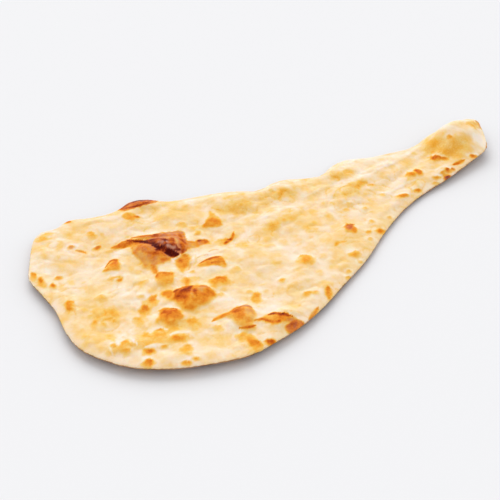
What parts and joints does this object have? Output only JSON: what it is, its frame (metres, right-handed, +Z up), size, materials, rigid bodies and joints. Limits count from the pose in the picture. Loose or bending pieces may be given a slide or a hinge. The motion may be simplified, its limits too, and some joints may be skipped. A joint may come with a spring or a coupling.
{
  "type": "naan bread",
  "caption": "Large tear-shaped leavened flat bread with a broad blistered end, a stretched handle with a puffed tip, and browned blisters.",
  "frame": {"origin": "middle of the bread's box, at the height of the table that it lies on", "axes": "+X along the bread from the broad end to the tip of the handle, +Y towards the scalloped long edge, +Z up"},
  "size_m": [0.4442, 0.2098, 0.0251],
  "materials": {
    "crust": "matt pale cream wheat crust with golden and dark brown baked blisters, soft satin where it is browned"
  },
  "bodies": {
    "root": {"naan": "crust"}
  },
  "joints": []
}
